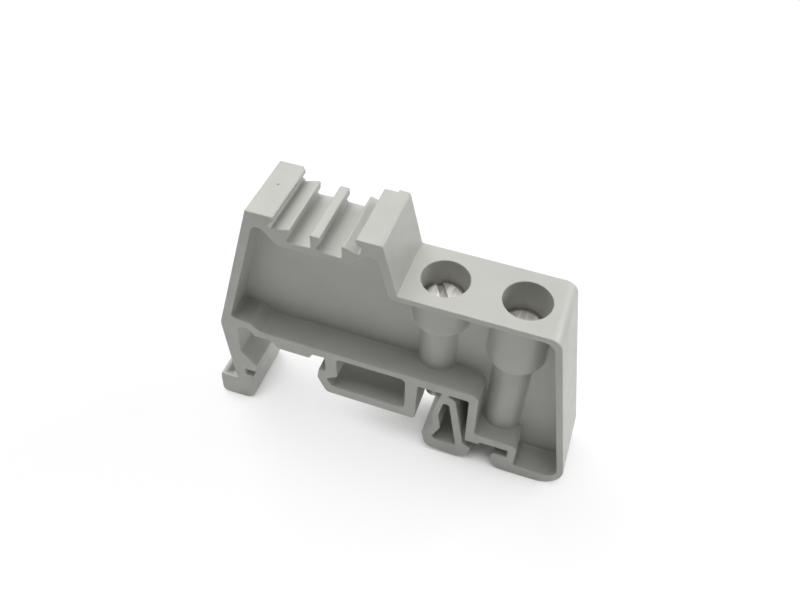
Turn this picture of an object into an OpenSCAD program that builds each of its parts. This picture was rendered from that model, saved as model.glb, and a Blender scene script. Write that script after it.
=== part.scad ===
// End stop for a 35 mm top-hat rail: one moulded body and two clamping screws.
// The profile is drawn in x (along the stop) and z (up from the rail), and runs through in y.
// Before the last shift, x = 0 is the rail's left edge and z = 0 is the underside of the left foot.

/* [Rail] */
// Width of the rail over its two flanges
rail_w = 35; // [34:0.1:37]
// Thickness of the rail's flanges
flange_t = 1; // [0.8:0.05:1.3]
// Height of the flanges' underside above the left foot
flange_z = 5.45; // [5:0.05:6]
// Play of the rail between the two hooks
rail_play = 0.2; // [0.1:0.05:0.6]
// Play above the flange under the left jaw
jaw_play = 0.25; // [0.1:0.05:0.5]
// Play above the flange under the right seat
seat_play = 0.05; // [0.02:0.01:0.3]
// Play below the flange over the right toe, for hooking in
hook_play = 0.5; // [0.2:0.05:0.8]

/* [Body] */
// Thickness of the stop along the rail
body_t = 8.5; // [7.5:0.1:12]
// Thickness of the web in the middle of the body
web_t = 1.5; // [1:0.1:2.5]
// Wall of the left side
left_wall_t = 1.1; // [0.8:0.05:1.4]
// Wall of the right side
right_wall_t = 0.8; // [0.6:0.05:1.2]
// Lean of the left side from upright
left_lean = 17.2; // [14:0.2:19]
// Lean of the right side from upright
right_lean = 10.6; // [8:0.2:13]
// Height of the pocket's floor
floor_z = 15.75; // [15.4:0.05:16.4]
// Wall of the floor between the feet
floor_t = 1.45; // [1:0.05:1.6]
// Wall of the floor beside the left arm
root_t = 1.1; // [0.9:0.05:1.3]
// Round of the profile's tight corners
edge_r = 0.15; // [0.12:0.01:0.2]

/* [Screw deck] */
// Height of the deck with the two screw holes
deck_z = 28.95; // [28:0.05:30.5]
// Wall of the deck
deck_t = 0.75; // [0.6:0.05:1.2]
// Round between the deck and the right side
deck_r = 1.6; // [1.2:0.1:2.5]
// Distance between the two screws
screw_pitch = 8.8; // [8.4:0.1:9.2]
// Distance from the rail's right edge in to the right screw
screw_inset = 1.65; // [1.4:0.05:2]
// Depth of the left counterbore below the deck
left_seat_depth = 5.2; // [4:0.05:7]
// Depth of the right counterbore below the deck
right_seat_depth = 8.05; // [6:0.05:9]
// Wall around the counterbores
seat_wall = 0.7; // [0.5:0.05:1]
// Floor of the counterbores
seat_floor = 0.7; // [0.5:0.05:1.2]
// Round around the foot of the counterbores' walls
seat_round = 0.45; // [0.2:0.05:0.6]
// Wall around the threaded bores
bore_wall = 1; // [0.6:0.05:1.2]

/* [Screws] */
// Diameter over the thread
screw_d = 2.6; // [2.4:0.1:2.8]
// Clearance around the thread
screw_gap = 0.05; // [0.02:0.01:0.1]
// Length from under the head to the point
screw_l = 16.7; // [16:0.1:17.2]
// Length of the cone at the point
point_l = 1.6; // [1:0.1:2.4]
// Diameter of the blunt end of the cone
point_d = 0.3; // [0.2:0.05:1]
// Diameter of the head
head_d = 4.9; // [4.4:0.1:5.2]
// Clearance around the head in its counterbore
head_gap = 0.19; // [0.1:0.01:0.4]
// Height of the head
head_h = 2; // [1.6:0.1:2.4]
// Round of the head's upper edge
head_r = 0.6; // [0.3:0.1:0.9]
// Width of the driver slot
slot_w = 0.8; // [0.5:0.05:1]
// Depth of the driver slot
slot_depth = 0.9; // [0.6:0.05:1.2]
// Height of the left head above its seat as it stands
left_lift = 0.35; // [0.1:0.05:1]
// Height of the right head above its seat as it stands
right_lift = 2.2; // [1.8:0.05:3]
// Turn of the left screw's slot
left_turn = 121; // [0:1:180]
// Turn of the right screw's slot
right_turn = 78; // [0:1:180]

/* [Left arm and foot] */
// Thickness of the sprung arm at the rail slot
arm_t = 1.5; // [1.2:0.05:1.8]
// Height at which the left side bends into the arm
arm_bend_z = 15.4; // [14.5:0.1:16.2]
// Reach of the foot beyond the rail's left edge
foot_out = 4.2; // [3.4:0.1:5.5]
// Reach of the foot under the rail
foot_in = 1.05; // [0.8:0.05:1.4]
// Height of the ledge beside the arm
ledge_z = 3.95; // [3:0.05:4.6]
// Reach of the jaw over the rail
jaw_in = 1.85; // [1.3:0.05:2.2]
// Height of the jaw's nose above the slot
jaw_nose = 1.3; // [0.8:0.05:1.6]
// Height of the top of the jaw's ramp
ramp_z = 10.7; // [9.8:0.1:12]
// Width of the arch beside the arm
arch_w = 2.2; // [1.8:0.1:3]
// Rise of the arch above the underside
arch_rise = 0.95; // [0.5:0.05:1]
// Distance of the driver slot in the ledge from the arm
release_gap = 0.25; // [0.2:0.05:0.5]
// Width of the driver slot, away from the arm
release_w = 1.3; // [1:0.05:1.6]
// Depth of the driver slot in the ledge
release_depth = 2.4; // [1.5:0.1:3]
// Rim between the driver slot and the body's faces
release_rim = 0.85; // [0.6:0.05:1.5]

/* [Pad] */
// Distance from the rail's left edge to the pad
pad_x = 5.5; // [4.8:0.1:6.5]
// Length of the pad
pad_w = 4.1; // [3:0.1:4.6]
// Depth of the pad below the floor's underside
pad_h = 0.85; // [0.4:0.05:1.5]

/* [Centre foot] */
// Distance from the rail's left edge to the foot's left wall
loop_x = 11.65; // [11.4:0.05:12.2]
// Width of the foot over its straight walls
loop_w = 11.75; // [11:0.05:11.9]
// Height of the foot's underside
loop_z = 7.3; // [6.8:0.05:8]
// Wall under the window
loop_floor_t = 1.6; // [1.2:0.05:2]
// Wall at the window's left
loop_left_t = 1.55; // [1.2:0.05:1.8]
// Wall at the window's right
loop_right_t = 1.55; // [1.2:0.05:1.8]
// Reach of the nose beyond the left wall
nose_out = 1.2; // [0.8:0.05:1.6]
// Height of the nose's upper side
nose_top_z = 11.8; // [11:0.05:12.4]
// Height of the nose's point
nose_tip_z = 10.4; // [9.8:0.05:10.8]

/* [Spring foot] */
// Distance from the rail's right edge back to the middle of the neck
neck_back = 8.4; // [8.2:0.05:8.6]
// Width of the neck
neck_w = 0.85; // [0.8:0.05:1.2]
// Height of the foot's underside
spring_z = 1.9; // [1.5:0.05:2.4]
// Width of the foot over its toes
toe_w = 6.1; // [5.8:0.05:6.3]
// Thickness of the two legs
leg_t = 0.95; // [0.8:0.05:1.1]
// Thickness of the sole
sole_t = 2.2; // [1.8:0.05:2.6]

/* [Right hook and base] */
// Thickness of the upright wall left of the seat
step_t = 1.05; // [0.9:0.05:1.2]
// Distance from the rail's right edge back to that wall's left face
step_back = 5.6; // [5.4:0.05:5.9]
// Depth of the seat's lip below the rest of the seat
lip_h = 0.5; // [0.2:0.05:0.6]
// Width of the seat's lip
lip_w = 1.75; // [1.3:0.05:2.1]
// Wall of the seat over the flange
seat_t = 1.35; // [1.2:0.05:1.6]
// Reach of the toe under the rail
toe_in = 1.85; // [1.4:0.05:2.4]
// Wall at the slot's closed end
post_t = 1; // [0.8:0.05:1.3]
// Height of the base's underside
base_z = 1.85; // [1.5:0.05:2.3]
// Wall of the base
base_t = 1.8; // [1.4:0.05:2.2]
// Reach of the base beyond the rail's right edge
base_out = 7.65; // [7.2:0.05:9]
// Round of the base's outer corner
base_r = 3.3; // [2:0.1:3.8]

/* [Marker head] */
// Height of the head's two blocks
top_z = 35.6; // [35:0.05:37]
// Distance from the rail's left edge to the head's top left corner
top_x = 4.25; // [3.6:0.05:4.6]
// Width of the left block over its lip
left_block_w = 3.1; // [2.8:0.05:3.4]
// Width of the right block over its lip
right_block_w = 2.75; // [2.5:0.05:3]
// Lean of the right block's outer face from upright
block_lean = 13.4; // [10:0.2:15]
// Wall of the right block's outer side
block_wall_t = 1; // [0.7:0.05:1.3]
// Width of each of the two snap grooves
snap_w = 1.6; // [1.5:0.05:1.8]
// Depth of the snap grooves' floor below the blocks
snap_depth = 1.6; // [1.4:0.05:1.8]
// Undercut of the snap grooves below the lips
snap_under = 0.75; // [0.4:0.05:0.85]
// Width of each of the two marker grooves
groove_w = 2.3; // [2.1:0.05:2.4]
// Depth of the marker grooves below the blocks
groove_depth = 3; // [2.7:0.05:3.1]
// Width of the middle ridge
ridge_w = 1.1; // [0.8:0.05:1.4]
// Drop of the middle ridge below the blocks
ridge_drop = 1.1; // [0.8:0.05:1.4]
// Undercut of the middle ridge at the groove's floor
ridge_under = 0.5; // [0.3:0.05:0.6]
// Wall under the marker grooves
groove_floor_t = 0.85; // [0.6:0.05:1.1]
// Depth of the relief across the grooves on the back face
relief_t = 0.35; // [0.1:0.05:0.6]
// Reach of that relief into the left block
relief_left = 0.3; // [0.2:0.05:0.5]
// Reach of that relief into the right block
relief_right = 1.5; // [1.2:0.1:2]

/* [Hidden] */
$fn = 64;
fine = 0.01;              // overshoot that keeps cuts clear of the faces
arc_step = 15;            // turn between two points of a small round, in degrees; half in a large one

// Rail seat
hook_x = rail_w + rail_play;
jaw_z = flange_z + flange_t + jaw_play;
seat_z = flange_z + flange_t + seat_play;
hook_z = flange_z - hook_play;

// Floor, and the places of the side walls at any height
under_z = floor_z - floor_t;
root_z = floor_z - root_t;
function left_side(z) = top_x - (top_z - z) * tan(left_lean);
function right_side(z) = hook_x + base_out - (z - base_z) * tan(right_lean);
function left_inner(z) = left_side(z) + left_wall_t / cos(left_lean);
function right_inner(z) = right_side(z) - right_wall_t / cos(right_lean);

// Marker head, worked out from its left corner to its right one
snap_z = top_z - snap_depth;
groove_z = top_z - groove_depth;
ridge_z = top_z - ridge_drop;
lip_left_x = top_x + left_block_w;
tooth_left_x = lip_left_x + snap_w;
ridge_x = tooth_left_x + groove_w;
tooth_right_x = ridge_x + ridge_w + groove_w;
lip_right_x = tooth_right_x + snap_w;
top_right_x = lip_right_x + right_block_w;
function block_side(z) = top_right_x + (top_z - z) * tan(block_lean);
function block_inner(z) = block_side(z) - block_wall_t / cos(block_lean);

// Feet
loop_right_x = loop_x + loop_w;
neck_x = hook_x - neck_back;
spring_left_x = neck_x - toe_w * 0.37;
spring_right_x = spring_left_x + toe_w;
step_x = hook_x - step_back;
sole_z = spring_z + sole_t;

// Screws
bore_r = screw_d / 2 + screw_gap;
seat_r = head_d / 2 + head_gap;
right_screw_x = hook_x - rail_play - screw_inset;
left_screw_x = right_screw_x - screw_pitch;
left_seat_z = deck_z - left_seat_depth;
right_seat_z = deck_z - right_seat_depth;
left_bore_z = left_seat_z - screw_l - screw_gap;
right_bore_z = (hook_z + seat_z) / 2;

// The part's origin: the middle of its length and the lowest point of the left foot
base_end_x = right_side(base_z + base_r) - base_r / cos(right_lean) + base_r;
origin_x = (base_end_x - foot_out) / 2;

// --- Outlines: each corner is [x, z, radius], and a positive radius rounds it with an arc ---

function unit(v) = v / norm(v);
function turn(u, v) = u[0] * v[1] - u[1] * v[0];
function point(c) = [c[0], c[1]];

// The arc that touches both edges at corner b, from a to c
function corner_arc(a, b, c, r) =
    let (u = unit(a - b), v = unit(c - b))
    let (half = acos(max(-1, min(1, u * v))) / 2)
    let (centre = b + unit(u + v) * r / sin(half))
    let (start = b + u * r / tan(half) - centre)
    let (sweep = (180 - 2 * half) * (turn(u, v) > 0 ? -1 : 1))
    let (steps = max(1, ceil(abs(sweep) / (r > 1 ? arc_step / 2 : arc_step))))
    [for (i = [0:steps])
        let (a = sweep * i / steps)
        centre + [start[0] * cos(a) - start[1] * sin(a), start[0] * sin(a) + start[1] * cos(a)]];

function rounded(corners) =
    let (n = len(corners))
    [for (i = [0:n - 1])
        let (b = corners[i], a = corners[(i + n - 1) % n], c = corners[(i + 1) % n])
        each (b[2] > 0 ? corner_arc(point(a), point(b), point(c), b[2]) : [point(b)])];

module through(corners, depth = body_t) {
    rotate([90, 0, 0]) linear_extrude(height = depth, center = true) polygon(rounded(corners));
}

// The body's outline, walked clockwise from the left foot's lower left corner
foot_corners = [
    [-foot_out, 0, 0.5],
    [-foot_out + 0.1, 2.6, 0],
    [-foot_out + 0.3, ledge_z, 0.25],
    [-arm_t, ledge_z, edge_r],
];
side_corners = [
    [left_side(arm_bend_z), arm_bend_z, 3.5],
    [top_x, top_z, edge_r],
];
head_corners = [
    [lip_left_x, top_z, edge_r],
    [lip_left_x, top_z - 0.45, edge_r],
    [lip_left_x - snap_under - 0.15, snap_z + 0.5, 0.35],
    [lip_left_x - snap_under + 0.35, snap_z - 0.12, 0.3],
    [tooth_left_x + 0.1, snap_z + 0.5, edge_r],
    [tooth_left_x, groove_z + 0.9, 0.3],
    [tooth_left_x - 0.4, groove_z + 0.3, edge_r],
    [tooth_left_x - 0.2, groove_z, 0],
    [ridge_x, groove_z + 0.1, edge_r],
    [ridge_x, ridge_z, edge_r],
    [ridge_x + ridge_w, ridge_z, edge_r],
    [ridge_x + ridge_w, groove_z + 1, 0.2],
    [ridge_x + ridge_w - ridge_under, groove_z + 0.45, 0.2],
    [ridge_x + ridge_w - ridge_under + 0.3, groove_z - 0.05, edge_r],
    [tooth_right_x, groove_z - 0.15, edge_r],
    [tooth_right_x, snap_z + 0.05, edge_r],
    [tooth_right_x + 0.3, snap_z + 0.1, edge_r],
    [lip_right_x + 0.25, snap_z - 0.5, 0.4],
    [lip_right_x + snap_under + 0.1, snap_z + 0.35, 0.5],
    [lip_right_x - 0.05, top_z - 0.6, 0.2],
    [lip_right_x, top_z, edge_r],
    [top_right_x, top_z, 0.35],
    [block_side(deck_z), deck_z, 0.2],
];
deck_corners = [
    [right_side(deck_z), deck_z, deck_r],
    [right_side(base_z), base_z, base_r],
];
hook_corners = [
    [hook_x - toe_in + 0.65, base_z, 1.2],
    [hook_x - toe_in, base_z + 1.3, 0.6],
    [hook_x - toe_in, hook_z, 0.35],
    [hook_x, hook_z, 0],
    [hook_x, seat_z, 0],
    [step_x + 0.2 + lip_w + 0.15, seat_z, edge_r],
    [step_x + 0.2 + lip_w, seat_z - lip_h, edge_r],
    [step_x + 0.2, seat_z - lip_h, edge_r],
    [step_x, under_z, 0.3],
];
spring_corners = [
    [neck_x + neck_w / 2, under_z, edge_r],
    [neck_x + neck_w / 2, under_z - 0.35, 0.3],
    [neck_x + neck_w / 2 + 0.85, under_z - 0.9, 0.6],
    [spring_right_x - 1, sole_z + 0.85, 0.3],
    [spring_right_x + 0.1, sole_z + 0.25, 0.35],
    [spring_right_x - 0.55, spring_z, 1.5],
    [spring_left_x + 0.3, spring_z, 1.2],
    [spring_left_x - 0.3, sole_z + 0.75, 0.6],
    [spring_left_x + 1.1, sole_z + 3, 1.2],
    [spring_left_x + 0.8, sole_z + 5.9, 2.5],
    [neck_x - neck_w / 2 - 0.25, under_z - 0.9, 0.5],
    [neck_x - neck_w / 2, under_z, edge_r],
];
loop_corners = [
    [loop_right_x, under_z, edge_r],
    [loop_right_x - 0.15, loop_z, 0.5],
    [loop_x - 0.15, loop_z, 0.8],
    [loop_x - nose_out, nose_tip_z - 0.4, 1],
    [loop_x - nose_out + 0.3, nose_top_z, 0.3],
    [loop_x, nose_top_z, edge_r],
    [loop_x, under_z + 0.1, edge_r],
];
pad_corners = [
    [pad_x + pad_w + 0.5, under_z, 0],
    [pad_x + pad_w, under_z - pad_h, edge_r],
    [pad_x, under_z - pad_h, edge_r],
    [pad_x - 0.9, root_z, 0.3],
];
arm_corners = [
    [0.25 + arch_w, root_z, 0.2],
    [0.25 + arch_w - 0.5, root_z + arch_rise, 0.7],
    [0.35, root_z + arch_rise, 0.8],
    [-0.05, ramp_z, 1],
    [jaw_in + 0.05, jaw_z + jaw_nose, 0.5],
    [jaw_in - 0.25, jaw_z, edge_r],
    [0, jaw_z, 0],
    [0, flange_z, 0],
    [foot_in, flange_z, edge_r],
    [foot_in - 0.5, 0, 1.7],
];
outline = concat(foot_corners, side_corners, head_corners, deck_corners, hook_corners,
                 spring_corners, loop_corners, pad_corners, arm_corners);

// The pocket inside the rim, the same on both faces
pocket_roof_z = groove_z - groove_floor_t;
pocket = [
    [left_inner(floor_z + 1.35), floor_z + 1.35, 0.5],
    [left_inner(snap_z - 0.45), snap_z - 0.45, 0.9],
    [lip_left_x - 1.6, snap_z - 0.4, 0.7],
    [lip_left_x + 0.05, pocket_roof_z, 0.6],
    [tooth_right_x + 0.5, pocket_roof_z, 0.7],
    [lip_right_x + 0.95, snap_z - 0.45, 0.7],
    [block_inner(snap_z - 0.45), snap_z - 0.45, 0.7],
    [block_inner(deck_z - deck_t), deck_z - deck_t, 0.5],
    [right_inner(deck_z - deck_t), deck_z - deck_t, 1.4],
    [right_inner(base_z + base_t), base_z + base_t, 1.6],
    [hook_x + post_t, base_z + base_t, 0.6],
    [hook_x + post_t, seat_z + seat_t, 0.9],
    [step_x + step_t + 0.2, seat_z + seat_t, 0.6],
    [step_x + step_t, floor_z, 1],
    [3.4, floor_z, 0.8],
    [2.2, floor_z + 1.2, 0.8],
];

// The window of the centre foot
loop_window = [
    [loop_x + loop_left_t, floor_z - 1, 0.5],
    [loop_right_x - loop_right_t, floor_z - 1, 0.7],
    [loop_right_x - loop_right_t, loop_z + loop_floor_t, 0.9],
    [loop_x + 0.6, loop_z + loop_floor_t, 0.7],
    [loop_x + 0.05, nose_tip_z - 0.2, 0.3],
    [loop_x + loop_left_t, nose_tip_z + 0.8, 0.5],
];

// The window between the spring foot's legs
spring_window = [
    [neck_x - 0.15, under_z - 1.9, 0.35],
    [neck_x + 0.55, under_z - 1.9, 0.4],
    [spring_right_x - 1.9, sole_z, 0.25],
    [spring_left_x + 1.35, sole_z, 0.3],
    [spring_left_x + 1.1, sole_z + 0.6, 0.4],
    [spring_left_x + 1.1 + leg_t, sole_z + 2.9, 1.2],
    [spring_left_x + 0.7 + leg_t, sole_z + 5.6, 2.5],
];

module pockets() {
    depth = (body_t - web_t) / 2;
    for (side = [-1, 1])
        translate([0, side * (web_t + depth + fine) / 2, 0]) through(pocket, depth + fine);
}

// A boss down through the pocket: wide around the counterbore, narrow around the bore
module boss(x, counterbore_z, foot_z) {
    wide_r = seat_r + seat_wall;
    narrow_r = bore_r + bore_wall;
    step_z = counterbore_z - seat_floor;
    top_z = deck_z - deck_t / 2;
    translate([x, 0, 0]) rotate_extrude()
        polygon(concat(
            [[0, top_z], [0, foot_z], [narrow_r, foot_z], [narrow_r, step_z]],
            [for (a = [-90:15:0])
                [wide_r - seat_round + seat_round * cos(a), step_z + seat_round + seat_round * sin(a)]],
            [[wide_r, top_z]]));
}

// A counterbored hole from the deck down to end_z
module screw_hole(x, counterbore_z, end_z) {
    translate([x, 0, counterbore_z]) cylinder(h = deck_z, r = seat_r);
    translate([x, 0, end_z]) cylinder(h = deck_z - end_z, r = bore_r);
}

// The slot in the ledge that takes a screwdriver to lever the arm off the rail
module release_slot() {
    length = body_t - 2 * release_rim;
    translate([-arm_t - release_gap - release_w, -length / 2, ledge_z - release_depth])
        cube([release_w, length, release_depth + fine]);
}

// The relief across the grooves on the back face, from the pocket's roof up
module head_relief() {
    translate([lip_left_x - relief_left, body_t / 2 - relief_t, pocket_roof_z - groove_floor_t])
        cube([lip_right_x + relief_right - lip_left_x + relief_left, relief_t + fine, top_z]);
}

module body() {
    color("darkgray") translate([-origin_x, 0, 0]) difference() {
        union() {
            difference() {
                through(outline);
                pockets();
            }
            boss(left_screw_x, left_seat_z, floor_z - floor_t / 2);
            boss(right_screw_x, right_seat_z, seat_z + seat_t / 2);
        }
        through(loop_window, body_t + 2 * fine);
        through(spring_window, body_t + 2 * fine);
        screw_hole(left_screw_x, left_seat_z, left_bore_z);
        screw_hole(right_screw_x, right_seat_z, right_bore_z);
        release_slot();
        head_relief();
    }
}

// A slotted screw with a round-edged cheese head and a cone point, standing on its point
module screw() {
    top = screw_l + head_h;
    difference() {
        rotate_extrude()
            polygon(concat(
                [[0, 0], [point_d / 2, 0], [screw_d / 2, point_l], [screw_d / 2, screw_l]],
                [[head_d / 2, screw_l]],
                [for (a = [0:15:90]) [head_d / 2 - head_r + head_r * cos(a), top - head_r + head_r * sin(a)]],
                [[0, top]]));
        translate([-head_d, -slot_w / 2, top - slot_depth]) cube([2 * head_d, slot_w, slot_depth + fine]);
    }
}

module screw_left() {
    color("silver")
        translate([left_screw_x - origin_x, 0, left_seat_z + left_lift - screw_l])
        rotate([0, 0, left_turn]) screw();
}

module screw_right() {
    color("silver")
        translate([right_screw_x - origin_x, 0, right_seat_z + right_lift - screw_l])
        rotate([0, 0, right_turn]) screw();
}

body();
screw_left();
screw_right();
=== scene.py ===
import bmesh
import bpy
import math
from mathutils import Matrix, Vector


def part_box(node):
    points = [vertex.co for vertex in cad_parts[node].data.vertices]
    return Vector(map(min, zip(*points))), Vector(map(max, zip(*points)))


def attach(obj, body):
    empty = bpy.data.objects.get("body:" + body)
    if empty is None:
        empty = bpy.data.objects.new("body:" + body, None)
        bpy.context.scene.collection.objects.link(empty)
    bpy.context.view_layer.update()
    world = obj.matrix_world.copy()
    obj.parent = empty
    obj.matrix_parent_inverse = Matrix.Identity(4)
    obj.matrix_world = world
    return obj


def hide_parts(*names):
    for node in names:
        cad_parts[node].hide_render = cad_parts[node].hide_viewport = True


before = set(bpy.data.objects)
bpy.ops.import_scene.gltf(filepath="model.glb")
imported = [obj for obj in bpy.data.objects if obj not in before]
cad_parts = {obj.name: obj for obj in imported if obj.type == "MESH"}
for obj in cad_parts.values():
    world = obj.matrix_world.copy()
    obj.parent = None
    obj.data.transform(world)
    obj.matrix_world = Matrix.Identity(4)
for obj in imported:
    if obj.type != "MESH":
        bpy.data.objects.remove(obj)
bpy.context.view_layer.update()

# --- Body -------------------------------------------------------------------------------------
# One injection moulding in grey polyamide: rim, web, sprung feet, marker head and screw bosses.
# The mould leaves a small round on every edge and a small fillet in every inner corner.

mm = 0.001
edge_round = 0.1 * mm
edge_steps = 3
crease = math.radians(40)
flat_within = math.radians(0.4)
weld = 0.002 * mm
snap = 0.001 * mm


def merged_copy(node, name, cuts):
    """A new piece with the shape of a fixed node, its triangles joined into whole faces.

    Each cut is a plane through a hole or window, which keeps every face in one simple loop.
    """
    mesh = bpy.data.meshes.new(name)
    bm = bmesh.new()
    bm.from_mesh(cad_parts[node].data)
    bmesh.ops.remove_doubles(bm, verts=bm.verts, dist=weld)
    for at, across in cuts:
        cut = bmesh.ops.bisect_plane(bm, geom=bm.verts[:] + bm.edges[:] + bm.faces[:],
                                     dist=snap, plane_co=at, plane_no=across)
        for part in cut["geom_cut"]:
            if isinstance(part, bmesh.types.BMEdge):
                part.seam = True
    bmesh.ops.dissolve_limit(bm, angle_limit=flat_within, verts=bm.verts, edges=bm.edges,
                             delimit={"SEAM"})
    return mesh, bm


def round_edges(bm, width, steps, low, high):
    """Rounds every crease of a piece, but leaves those between the corners low and high crisp."""
    def crisp(v):
        return all(low[i] < v.co[i] / mm < high[i] for i in range(3))

    sharp = [e for e in bm.edges if e.is_manifold and e.calc_face_angle() > crease
             and not (crisp(e.verts[0]) and crisp(e.verts[1]))]
    bmesh.ops.bevel(bm, geom=sharp, offset=width, offset_type="OFFSET", segments=steps,
                    profile=0.5, affect="EDGES", material=-1, clamp_overlap=False,
                    loop_slide=True)


def place(mesh, bm, name, material):
    """Turns a finished shape into an object with soft shading across its rounded edges."""
    bm.to_mesh(mesh)
    bm.free()
    for face in mesh.polygons:
        face.use_smooth = True
    mesh.materials.append(material)
    piece = bpy.data.objects.new(name, mesh)
    bpy.context.collection.objects.link(piece)
    return piece


def keep_faces_flat(piece):
    """Lets the large faces set the shading, so that only the rounds between them look curved."""
    flat = piece.modifiers.new("flat faces", "WEIGHTED_NORMAL")
    flat.mode = "FACE_AREA"
    flat.weight = 80
    flat.keep_sharp = True


def new_material(name):
    material = bpy.data.materials.new(name)
    material.use_nodes = True
    return material, material.node_tree.nodes, material.node_tree.links


def noise(nodes, links, place_on, scale, detail=2.0, roughness=0.5):
    texture = nodes.new("ShaderNodeTexNoise")
    texture.inputs["Scale"].default_value = scale
    texture.inputs["Detail"].default_value = detail
    texture.inputs["Roughness"].default_value = roughness
    links.new(place_on, texture.inputs["Vector"])
    return texture.outputs["Fac"]


def spread(nodes, links, value, low, high):
    """Stretches a pattern's value to run between low and high."""
    remap = nodes.new("ShaderNodeMapRange")
    remap.inputs["From Min"].default_value = 0.3
    remap.inputs["From Max"].default_value = 0.7
    remap.inputs["To Min"].default_value = low
    remap.inputs["To Max"].default_value = high
    links.new(value, remap.inputs["Value"])
    return remap.outputs["Result"]


polyamide, nodes, links = new_material("grey polyamide")
shader = nodes["Principled BSDF"]
where = nodes.new("ShaderNodeTexCoord").outputs["Object"]
tone = nodes.new("ShaderNodeMix")
tone.data_type = "RGBA"
tone.inputs["A"].default_value = (0.405, 0.406, 0.380, 1)
tone.inputs["B"].default_value = (0.440, 0.438, 0.412, 1)
mottle = noise(nodes, links, where, scale=260, detail=5.0)
links.new(spread(nodes, links, mottle, 0, 1), tone.inputs["Factor"])
# a speck of dark dirt with a ragged rim, on the top of the left block
speck_at = Vector((-13.26, 0.59, 35.6)) * mm
from_speck = nodes.new("ShaderNodeVectorMath")
from_speck.operation = "DISTANCE"
from_speck.inputs[1].default_value = speck_at
links.new(where, from_speck.inputs[0])
ragged = nodes.new("ShaderNodeMath")
ragged.operation = "MULTIPLY"
links.new(from_speck.outputs["Value"], ragged.inputs[0])
rim = noise(nodes, links, where, scale=6000)
links.new(spread(nodes, links, rim, 0.6, 1.5), ragged.inputs[1])
speck = nodes.new("ShaderNodeMapRange")
speck.inputs["From Min"].default_value = 0.06 * mm
speck.inputs["From Max"].default_value = 0.16 * mm
speck.inputs["To Min"].default_value = 0.9
speck.inputs["To Max"].default_value = 0
links.new(ragged.outputs["Value"], speck.inputs["Value"])
dirt = nodes.new("ShaderNodeMix")
dirt.data_type = "RGBA"
dirt.inputs["B"].default_value = (0.06, 0.06, 0.055, 1)
links.new(tone.outputs["Result"], dirt.inputs["A"])
links.new(speck.outputs["Result"], dirt.inputs["Factor"])
links.new(dirt.outputs["Result"], shader.inputs["Base Color"])
sheen = noise(nodes, links, where, scale=900, detail=3.0)
links.new(spread(nodes, links, sheen, 0.34, 0.46), shader.inputs["Roughness"])
worn = nodes.new("ShaderNodeBevel")
worn.samples = 6
worn.inputs["Radius"].default_value = 0.2 * mm
grain = nodes.new("ShaderNodeBump")
links.new(worn.outputs["Normal"], grain.inputs["Normal"])
grain.inputs["Strength"].default_value = 0.35
grain.inputs["Distance"].default_value = 0.012 * mm
texture = noise(nodes, links, where, scale=5200, detail=4.0, roughness=0.6)
links.new(texture, grain.inputs["Height"])
links.new(grain.outputs["Normal"], shader.inputs["Normal"])

# the driver slot in the left foot's ledge, in mm, which lies too close to the arm for rounds
driver_slot = (-22.2, -3.5, 1.4), (-20.65, 3.5, 4.1)
left_bore = sum((Vector(c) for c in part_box("screw_left")), Vector()) / 2
right_bore = sum((Vector(c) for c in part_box("screw_right")), Vector()) / 2
centre_window = Vector((-1.5, 0, 0)) * mm
spring_window = Vector((7.9, 0, 0)) * mm
along = Vector((1, 0, 0))
through = Vector((0, 1, 0))
mesh, bm = merged_copy("body", "moulded body", [
    (left_bore, through), (left_bore, along), (right_bore, along),
    (centre_window, along), (spring_window, along)])
round_edges(bm, edge_round, edge_steps, *driver_slot)
moulding = place(mesh, bm, "moulded_body", polyamide)
keep_faces_flat(moulding)
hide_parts("body")
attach(moulding, "body")

# --- Clamping screws --------------------------------------------------------------------------
# Two slotted machine screws with a round-edged cheese head and a cone point, steel, zinc plated.
# They are turned down through the deep counterbores and cut their thread in the bosses.

zinc, nodes, links = new_material("zinc plated steel")
shader = nodes["Principled BSDF"]
where = nodes.new("ShaderNodeTexCoord").outputs["Object"]
shader.inputs["Metallic"].default_value = 1
plate = nodes.new("ShaderNodeMix")
plate.data_type = "RGBA"
plate.inputs["A"].default_value = (0.48, 0.475, 0.44, 1)
plate.inputs["B"].default_value = (0.76, 0.75, 0.70, 1)
lathe_marks = nodes.new("ShaderNodeVectorMath")
lathe_marks.operation = "MULTIPLY"
lathe_marks.inputs[1].default_value = (1, 0.12, 1)
links.new(where, lathe_marks.inputs[0])
streaks = noise(nodes, links, lathe_marks.outputs["Vector"], scale=4200, detail=3.0)
links.new(spread(nodes, links, streaks, 0, 1), plate.inputs["Factor"])
links.new(plate.outputs["Result"], shader.inputs["Base Color"])
links.new(spread(nodes, links, streaks, 0.32, 0.42), shader.inputs["Roughness"])

head_height = 2.0 * mm
crest_r = 1.3 * mm
core_r = 1.0 * mm
point_r = 0.15 * mm
cone_height = 1.6 * mm
pitch = 0.45 * mm
turn_steps = 32
hair = 0.05 * mm
# how far each screw is turned on from its solid
further_turn = {"left": 0, "right": math.radians(-70)}


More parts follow.
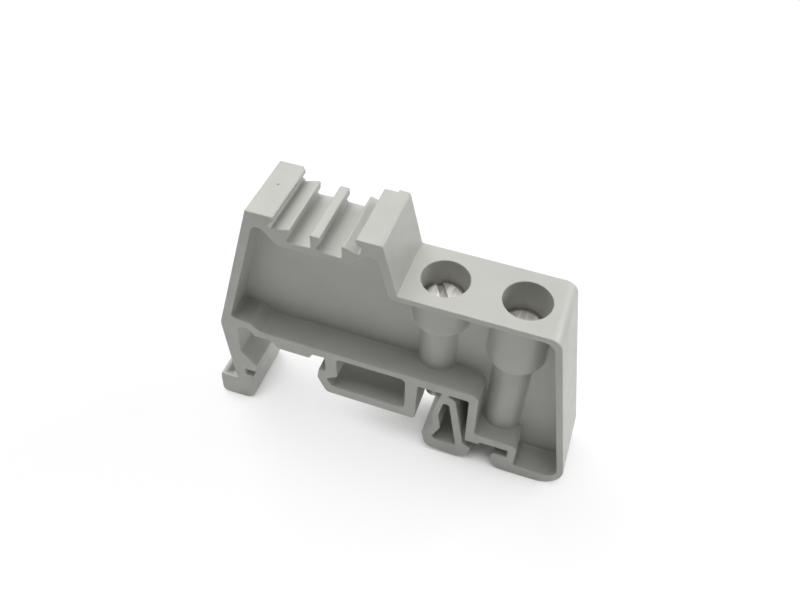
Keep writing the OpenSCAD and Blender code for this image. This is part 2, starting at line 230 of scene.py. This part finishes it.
def turn_thread(bm, axis, bottom, top):
    """Adds a right-hand V thread that starts on the cone and runs out just below the head."""
    # each tooth: radius, and height in parts of the pitch
    flanks = (core_r, 0), (core_r, 0.15), (crest_r, 0.5), (crest_r, 0.65)
    profile = []
    for tooth in range(math.ceil((top - bottom) / pitch) + 2):
        start = bottom + (tooth - 1) * pitch
        for r, rise in flanks:
            profile.append(bm.verts.new((axis.x + r, axis.y, start + rise * pitch)))
    lines = [bm.edges.new(pair) for pair in zip(profile, profile[1:])]
    old = set(bm.verts) - set(profile)
    bmesh.ops.spin(bm, geom=profile + lines, cent=axis, axis=(0, 0, 1), angle=2 * math.pi,
                   dvec=(0, 0, pitch / turn_steps), steps=turn_steps, use_merge=False)
    thread = [v for v in bm.verts if v not in old]
    for v in thread:
        out = Vector((v.co.x - axis.x, v.co.y - axis.y, 0))
        height = min(max(v.co.z, bottom), top)
        cone_r = point_r + (height - bottom) / cone_height * (crest_r - point_r)
        neck_r = core_r + (top - height)
        reach = min(out.length, cone_r, neck_r)
        v.co = Vector((axis.x, axis.y, height)) + out.normalized() * reach
    bmesh.ops.remove_doubles(bm, verts=thread, dist=weld)
    bmesh.ops.holes_fill(bm, edges=[e for e in bm.edges if e.is_boundary], sides=0)
    bmesh.ops.recalc_face_normals(bm, faces=bm.faces)


for side in ("left", "right"):
    node = f"screw_{side}"
    low, high = (Vector(c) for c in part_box(node))
    axis = Vector(((low.x + high.x) / 2, (low.y + high.y) / 2, 0))
    under_head = high.z - head_height
    mesh, bm = merged_copy(node, f"{side} screw", [])
    shank = [v for v in bm.verts if v.co.z < under_head - 2 * hair]
    bmesh.ops.delete(bm, geom=shank, context="VERTS")
    turned = Matrix.Rotation(further_turn[side], 3, "Z")
    bmesh.ops.rotate(bm, verts=bm.verts, cent=axis, matrix=turned)
    turn_thread(bm, axis, low.z, under_head + hair)
    for e in bm.edges:
        e.smooth = not (e.is_manifold and e.calc_face_angle() > crease)
    screw = place(mesh, bm, f"{side}_screw", zinc)
    keep_faces_flat(screw)
    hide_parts(node)
    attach(screw, node)

# --- Table, light and camera ------------------------------------------------------------------
# The stop stands free on a white table. Its left foot reaches lower than its base, so it rocks
# down to the right until the base touches: the table is the plane under those two edges. The
# table keeps its shadow near the stop, its glow is dimmed by painted shade where the stop closes
# it in, and far off it turns to plain white.

corners = [v.co for v in moulding.data.vertices]
lowest = min(c.z for c in corners)
foot = max((c for c in corners if c.z < lowest + 0.01 * mm), key=lambda c: c.x)
tilt = min(math.atan2(c.z - foot.z, c.x - foot.x) for c in corners if c.x > foot.x + 1 * mm)

table_mesh = bpy.data.meshes.new("table")
bm = bmesh.new()
bmesh.ops.create_grid(bm, x_segments=1, y_segments=1, size=0.6,
                      matrix=Matrix.Translation(foot) @ Matrix.Rotation(-tilt, 4, "Y"))
bm.to_mesh(table_mesh)
bm.free()
table = bpy.data.objects.new("table", table_mesh)
bpy.context.collection.objects.link(table)


def seen_directly(nodes, links):
    """1 for what is seen straight, in a mirror or through glass, and 0 for all other light."""
    path = nodes.new("ShaderNodeLightPath")
    either = nodes.new("ShaderNodeMath")
    either.operation = "MAXIMUM"
    links.new(path.outputs["Is Camera Ray"], either.inputs[0])
    links.new(path.outputs["Is Glossy Ray"], either.inputs[1])
    any_of = nodes.new("ShaderNodeMath")
    any_of.operation = "MAXIMUM"
    links.new(either.outputs["Value"], any_of.inputs[0])
    links.new(path.outputs["Is Transmission Ray"], any_of.inputs[1])
    return any_of.outputs["Value"]


white, nodes, links = new_material("white table")
shader = nodes["Principled BSDF"]
shader.inputs["Base Color"].default_value = (0.9, 0.9, 0.9, 1)
shader.inputs["Roughness"].default_value = 0.8
shader.inputs["Specular IOR Level"].default_value = 0.1
glow = nodes.new("ShaderNodeEmission")
# painted shade: ambient occlusion dims the table's white glow under and beside the stop
painted_shade_ao = nodes.new("ShaderNodeAmbientOcclusion")
painted_shade_ao.inputs["Distance"].default_value = 12 * mm
painted_shade_and_far_white = nodes.new("ShaderNodeMapRange")
painted_shade_and_far_white.inputs["From Min"].default_value = 0.2
painted_shade_and_far_white.inputs["From Max"].default_value = 0.65
links.new(painted_shade_ao.outputs["AO"], painted_shade_and_far_white.inputs["Value"])
from_stop = nodes.new("ShaderNodeVectorMath")
from_stop.operation = "LENGTH"
links.new(nodes.new("ShaderNodeTexCoord").outputs["Object"], from_stop.inputs[0])
far_off = nodes.new("ShaderNodeMapRange")
far_off.inputs["From Min"].default_value = 60 * mm
far_off.inputs["From Max"].default_value = 180 * mm
far_off.inputs["To Min"].default_value = 0.7
links.new(from_stop.outputs["Value"], far_off.inputs["Value"])
links.new(far_off.outputs["Result"], painted_shade_and_far_white.inputs["To Max"])
share = nodes.new("ShaderNodeMath")
share.operation = "MULTIPLY"
links.new(seen_directly(nodes, links), share.inputs[0])
links.new(painted_shade_and_far_white.outputs["Result"], share.inputs[1])
cover = nodes.new("ShaderNodeMixShader")
links.new(share.outputs["Value"], cover.inputs["Fac"])
links.new(shader.outputs["BSDF"], cover.inputs[1])
links.new(glow.outputs["Emission"], cover.inputs[2])
links.new(cover.outputs["Shader"], nodes["Material Output"].inputs["Surface"])
table_mesh.materials.append(white)

world = bpy.data.worlds.new("studio")
bpy.context.scene.world = world
world.use_nodes = True
nodes, links = world.node_tree.nodes, world.node_tree.links
sky = nodes["Background"]
sky.inputs["Color"].default_value = (1, 1, 1, 1)
level = nodes.new("ShaderNodeMapRange")
level.inputs["To Min"].default_value = 0.15
links.new(seen_directly(nodes, links), level.inputs["Value"])
links.new(level.outputs["Result"], sky.inputs["Strength"])


middle = Vector((0, 0, 15)) * mm


def softbox(name, azimuth, elevation, power, size=0.3, away=0.5):
    """A square lamp that looks at the middle of the stop from a direction given in degrees."""
    lamp = bpy.data.lights.new(name, "AREA")
    lamp.shape = "SQUARE"
    lamp.size = size
    lamp.energy = power
    stand = bpy.data.objects.new(name, lamp)
    bpy.context.collection.objects.link(stand)
    turn = math.radians(azimuth)
    lift = math.radians(elevation)
    level_part = math.cos(lift)
    ray = Vector((math.sin(turn) * level_part, -math.cos(turn) * level_part, math.sin(lift)))
    stand.location = middle + away * ray
    stand.rotation_euler = ray.to_track_quat("Z", "Y").to_euler()


softbox("ceiling", azimuth=0, elevation=88, power=1.4)
softbox("left window", azimuth=240, elevation=60, power=1.3)
softbox("right window", azimuth=120, elevation=30, power=1.15)

camera = bpy.data.cameras.new("camera")
camera.lens = 33.78
camera.sensor_width = 36
camera.clip_start = 0.001
view = bpy.data.objects.new("camera", camera)
bpy.context.collection.objects.link(view)
view.location = Vector((17.654, -52.434, 86.542)) * mm
view.rotation_euler = [math.radians(a) for a in (41.173, -1.146, 19.350)]
bpy.context.scene.camera = view
bpy.context.scene.view_settings.view_transform = "Standard"
